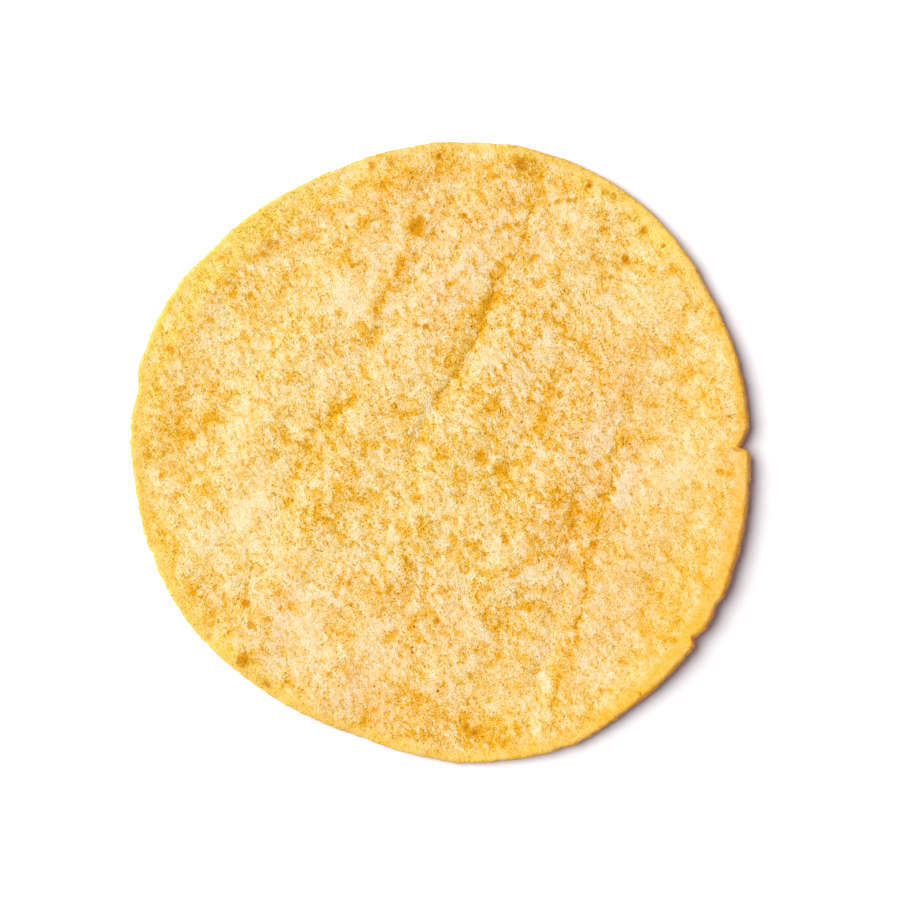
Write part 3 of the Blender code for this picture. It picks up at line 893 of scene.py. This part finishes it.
# Between two of the creases the skin lifted in rows of crisp flakes, like the rungs of a ladder
rungs = crumb.add(
    "ShaderNodeVectorMath", {0: along_flakes, 1: (1.0 / RUNG_STRETCH, 1.0, 1.0)}, operation="MULTIPLY"
).outputs[0]
rungs = crumb.add(
    "ShaderNodeVectorMath", {0: warp.outputs["Color"], 1: (1.2, 1.2, 1.2), 2: rungs},
    operation="MULTIPLY_ADD",
).outputs[0]
ladder_field = crumb.field("ladder")
rung_noise = crumb.grain(RUNG_SIZE, detail=2.0, place=rungs, seed=83.0)
ladder_flakes = crumb.times(ladder_field, crumb.swing(rung_noise, 1.0))
# The rungs are painted paler and the gaps darker: partly their own colour, partly painted highlight and
# shade
tone = crumb.sum(tone, crumb.times(ladder_flakes, LADDER_TONE_AND_SHADING))

# Between the plates, in the steam's pores and between grains of meal: toasting and painted shade
wide_open = crumb.span(crumb.grain(1.6, detail=2.0, roughness=0.6, seed=103.0), 0.50, 0.62)
small_open = crumb.span(crumb.grain(1.1, detail=2.0, roughness=0.6, seed=109.0), 0.52, 0.62)
wide_line = crumb.times(crumb.span(wide_seam, 0.02, 0.08, 1.0, 0.0), wide_open)
wide_halo = crumb.times(crumb.span(wide_seam, 0.05, 0.40, 1.0, 0.0), wide_open)
small_line = crumb.times(crumb.span(small_seam, 0.03, 0.14, 1.0, 0.0), small_open)
pore_cells = crumb.add("ShaderNodeTexVoronoi", {"Vector": drifted, "Scale": 1.0 / PORE_SPACING})
pore_pick = crumb.add("ShaderNodeSeparateColor", {"Color": pore_cells.outputs["Color"]}).outputs[1]
pore_radius = crumb.span(pore_pick, 0.55, 1.0, 0.0, PORE_RADIUS)
pores = crumb.span(crumb.sum(pore_radius, pore_cells.outputs["Distance"], "SUBTRACT"), -0.02, 0.06)
meal = crumb.grain(MEAL_SIZE, detail=2.0, roughness=0.75, seed=47.0)
crevice_noise = crumb.grain(CREVICE_SIZE, detail=1.5, roughness=0.8, seed=47.0)
crevices = crumb.span(crevice_noise, 0.30, 0.43, 1.0, 0.0)

# The open cracks, broken and frayed, with a toasted band beside each
frayed = crumb.sum(
    crumb.field("crack_offset"), crumb.swing(crumb.grain(0.9, detail=2.0, roughness=0.8, seed=151.0), 1.3)
)
frayed = crumb.add("ShaderNodeMath", {0: frayed}, operation="ABSOLUTE").outputs[0]
crack_field = crumb.field("crack_opened")
broken = crumb.span(crumb.grain(1.0, detail=2.0, roughness=0.8, seed=157.0), 0.42, 0.58)
crack = crumb.times(crumb.span(frayed, 0.05, 0.32, 0.85, 0.0), crumb.times(crack_field, broken))
crack_band = crumb.times(
    crumb.span(frayed, 0.2, 1.4, CRACK_BAND_TONE, 0.0), crumb.times(crack_field, broken)
)
tone = crumb.sum(tone, crack_band, "SUBTRACT")

# All the hollows together, deepest where the crumb is most toasted, and a soft halo beside wide seams;
# both darken partly as toasting and partly as painted shade
seams = crumb.sum(crumb.times(wide_line, WIDE_SEAM_DEPTH), crumb.times(small_line, SMALL_SEAM_DEPTH))
pits = crumb.sum(crumb.times(pores, PORE_DEPTH), crumb.times(crevices, CREVICE_DEPTH))
hollows = crumb.sum(seams, pits)
hollows = crumb.times(hollows, crumb.times(crisp_field, crumb.span(tone, 0.40, 0.90, 1.20, 0.55)))
hollows = crumb.times(hollows, crumb.span(pale_and_highlight_field, 0.3, 1.0, 1.0, 0.4))
hollows = crumb.sum(hollows, crack)
tone = crumb.sum(tone, crumb.times(wide_halo, HALO_TONE), "SUBTRACT")

# The rim stayed smooth, with few flecks
rim_tone = crumb.sum(
    crumb.times(flecks, RIM_FLECK_TONE), crumb.sum(crumb.times(crisp_field, RIM_CRISP_TONE), RIM_TONE)
)
tone_mix = crumb.add(
    "ShaderNodeMix", {0: crumb.times(rim_field, 0.85), 2: tone, 3: rim_tone}, data_type="FLOAT"
)
ramp = crumb.add("ShaderNodeValToRGB", {"Fac": tone_mix.outputs[0]})
stops = ramp.color_ramp.elements
for at, (red, green, blue) in TONES[1:-1]:
    stops.new(at).color = (red, green, blue, 1.0)
stops[0].color = (*TONES[0][1], 1.0)
stops[-1].color = (*TONES[-1][1], 1.0)
colour = ramp.outputs["Color"]


def deepened(colour, share, tint):
    """A colour multiplied by a tint, by a share from 0 to 1."""
    mix = crumb.add("ShaderNodeMix", data_type="RGBA", blend_type="MULTIPLY")
    crumb.tree.links.new(share, mix.inputs[0])
    crumb.tree.links.new(colour, mix.inputs[6])
    mix.inputs[7].default_value = (*tint, 1.0)
    return mix.outputs[2]


# A peach blush in slow clouds, and lemon where the press thinned the rim most
cloud = crumb.span(crumb.grain(6.0, detail=3.0, roughness=0.7, seed=5.0), 0.35, 0.65, 0.4, 1.3)
colour = deepened(colour, crumb.times(crumb.field("blush"), cloud), PEACH_TINT)
speck = crumb.span(crumb.grain(SPECK_SIZE, detail=1.5, roughness=0.8, seed=191.0), 0.46, 0.64)
colour = deepened(colour, speck, SPECK_TINT)
lemon_noise = crumb.span(crumb.grain(2.4, detail=4.0, roughness=0.9, seed=61.0), 0.35, 0.65, 0.0, 0.90)
colour = crumb.blend(crumb.times(crumb.field("lemon"), lemon_noise), colour, LEMON)
# Painted shade on the right rim, where it curls away from the light
colour = deepened(colour, crumb.field("painted_rim_shade"), RIM_SHADE_TINT)

# Toasting and painted shade in the hollows, then what was singed or scorched, and the dark flecks over all
# of it
deep = crumb.times(hollows, crumb.span(rim_field, 0.0, 1.0, 1.0, 0.4))
colour = deepened(colour, crumb.sum(deep, 1.0, "MINIMUM"), TOAST_AND_SHADE_TINT)
scorch_grain = crumb.grain(SCORCH_SIZE, detail=3.0, roughness=0.9, seed=163.0)
scorch_noise = crumb.span(scorch_grain, 0.35, 0.62, 0.30, 1.15)
scorch = crumb.times(crumb.field("scorched"), scorch_noise)
colour = crumb.blend(crumb.span(scorch, 0.10, 0.36, 0.0, 0.92), colour, SINGED_GOLD)
colour = crumb.blend(crumb.span(scorch, 0.45, 0.85, 0.0, 0.95), colour, SCORCHED_BROWN)
# Painted glow: the lower side and wall of the lifted right rim painted orange
colour = crumb.blend(crumb.field("painted_glow"), colour, PAINTED_GLOW_ORANGE)
fleck_edge = crumb.swing(crumb.grain(0.5, detail=1.0, seed=171.0), 0.5)
fleck = crumb.span(crumb.sum(crumb.field("fleck_distance"), fleck_edge), 0.15, 0.42, 0.92, 0.0)
colour = crumb.blend(fleck, colour, FLECK_BROWN)

# The finest relief, in millimetres, from the lumps down to the grit
lump = crumb.grain(LUMP_SIZE, detail=3.0, roughness=0.6, seed=3.0)
height = crumb.sum(crumb.times(lump, LUMP_HEIGHT), crumb.times(meal, MEAL_HEIGHT))
plate_relief = crumb.sum(crumb.times(hollows, HOLLOW_HEIGHT), crumb.times(plate_tone, PLATE_HEIGHT))
height = crumb.sum(height, plate_relief)
grit = crumb.grain(GRIT_SIZE, detail=1.5, roughness=0.9, seed=53.0)
height = crumb.sum(height, crumb.times(grit, GRIT_HEIGHT))
height = crumb.sum(height, crumb.times(ladder_flakes, LADDER_HEIGHT))
bump = crumb.add("ShaderNodeBump", {"Height": height, "Strength": 1.0, "Distance": MM})

crumb.tree.links.new(colour, crumb.shader.inputs["Base Color"])
crumb.tree.links.new(bump.outputs[0], crumb.shader.inputs["Normal"])
crumb.tree.links.new(crumb.span(meal, 0.3, 0.7, 0.62, 0.82), crumb.shader.inputs["Roughness"])
crumb.shader.inputs["Specular IOR Level"].default_value = 0.08
glow = crumb.span(crumb.field("painted_glow"), 0.0, 1.0, 0.06, 1.0)
crumb.tree.links.new(glow, crumb.shader.inputs["Subsurface Weight"])
crumb.shader.inputs["Subsurface Radius"].default_value = (1.0, 0.16, 0.02)
crumb.shader.inputs["Subsurface Scale"].default_value = 14.0 * MM
crumb.shader.inputs["Subsurface Anisotropy"].default_value = 0.8
dough.materials.append(crumb.material)

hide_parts("tortilla")
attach(tortilla, "root")

# ---------------------------------------------------------------------------------------------------
# The table: a plain flat white sheet, far larger than the tortilla, that only catches its shadow.
# From here on sizes and distances are in metres.
# ---------------------------------------------------------------------------------------------------
TABLE_WIDTH = 6.0
TABLE_WHITE = (0.95, 0.95, 0.95, 1.0)
TABLE_ROUGHNESS = 0.7

table_mesh = bpy.data.meshes.new("table")
table_shape = bmesh.new()
bmesh.ops.create_grid(table_shape, x_segments=1, y_segments=1, size=TABLE_WIDTH / 2.0)
table_shape.to_mesh(table_mesh)
table_shape.free()
table = bpy.data.objects.new("table", table_mesh)
bpy.context.scene.collection.objects.link(table)
white = bpy.data.materials.new("white_table")
white.use_nodes = True
white.node_tree.nodes["Principled BSDF"].inputs["Base Color"].default_value = TABLE_WHITE
white.node_tree.nodes["Principled BSDF"].inputs["Roughness"].default_value = TABLE_ROUGHNESS
table_mesh.materials.append(white)

# ---------------------------------------------------------------------------------------------------
# The light: a soft box on the left, and white walls all round that fill the shadows.
# The box is large and stands high, so the shadow beside the rim is short and soft.
# ---------------------------------------------------------------------------------------------------
KEY_DIRECTION = 160.0
KEY_ELEVATION = 52.0
KEY_DISTANCE = 3.0
KEY_WIDTH = 2.6
KEY_POWER = 142.0
FILL_COLOUR = (1.08, 0.88, 1.10)
FILL_STRENGTH = 0.16

key_light = bpy.data.lights.new("key", "AREA")
key_light.shape = "DISK"
key_light.size = KEY_WIDTH
key_light.energy = KEY_POWER
key = bpy.data.objects.new("key", key_light)
bpy.context.scene.collection.objects.link(key)
flat = math.cos(math.radians(KEY_ELEVATION))
towards_key = Vector((
    flat * math.cos(math.radians(KEY_DIRECTION)),
    flat * math.sin(math.radians(KEY_DIRECTION)),
    math.sin(math.radians(KEY_ELEVATION)),
))
key.location = KEY_DISTANCE * towards_key
key.rotation_euler = towards_key.to_track_quat("Z", "Y").to_euler()

room = bpy.data.worlds.new("white_room")
room.use_nodes = True
room.node_tree.nodes["Background"].inputs["Color"].default_value = (*FILL_COLOUR, 1.0)
room.node_tree.nodes["Background"].inputs["Strength"].default_value = FILL_STRENGTH
bpy.context.scene.world = room
bpy.context.scene.view_settings.view_transform = "Standard"

# ---------------------------------------------------------------------------------------------------
# The camera: straight above, a little off the tortilla's middle.
# Its height follows from the lens and from the width of table that it takes in.
# ---------------------------------------------------------------------------------------------------
LENS = 85.0
SENSOR = 36.0
VIEW_WIDTH = 0.2185
VIEW_MIDDLE = (0.00243, 0.00061)
NEAREST_SEEN = 0.01
FARTHEST_SEEN = 20.0

camera_data = bpy.data.cameras.new("camera")
camera_data.lens = LENS
camera_data.sensor_width = SENSOR
camera_data.clip_start = NEAREST_SEEN
camera_data.clip_end = FARTHEST_SEEN
camera = bpy.data.objects.new("camera", camera_data)
camera.location = (*VIEW_MIDDLE, VIEW_WIDTH * LENS / SENSOR)
bpy.context.scene.collection.objects.link(camera)
bpy.context.scene.camera = camera
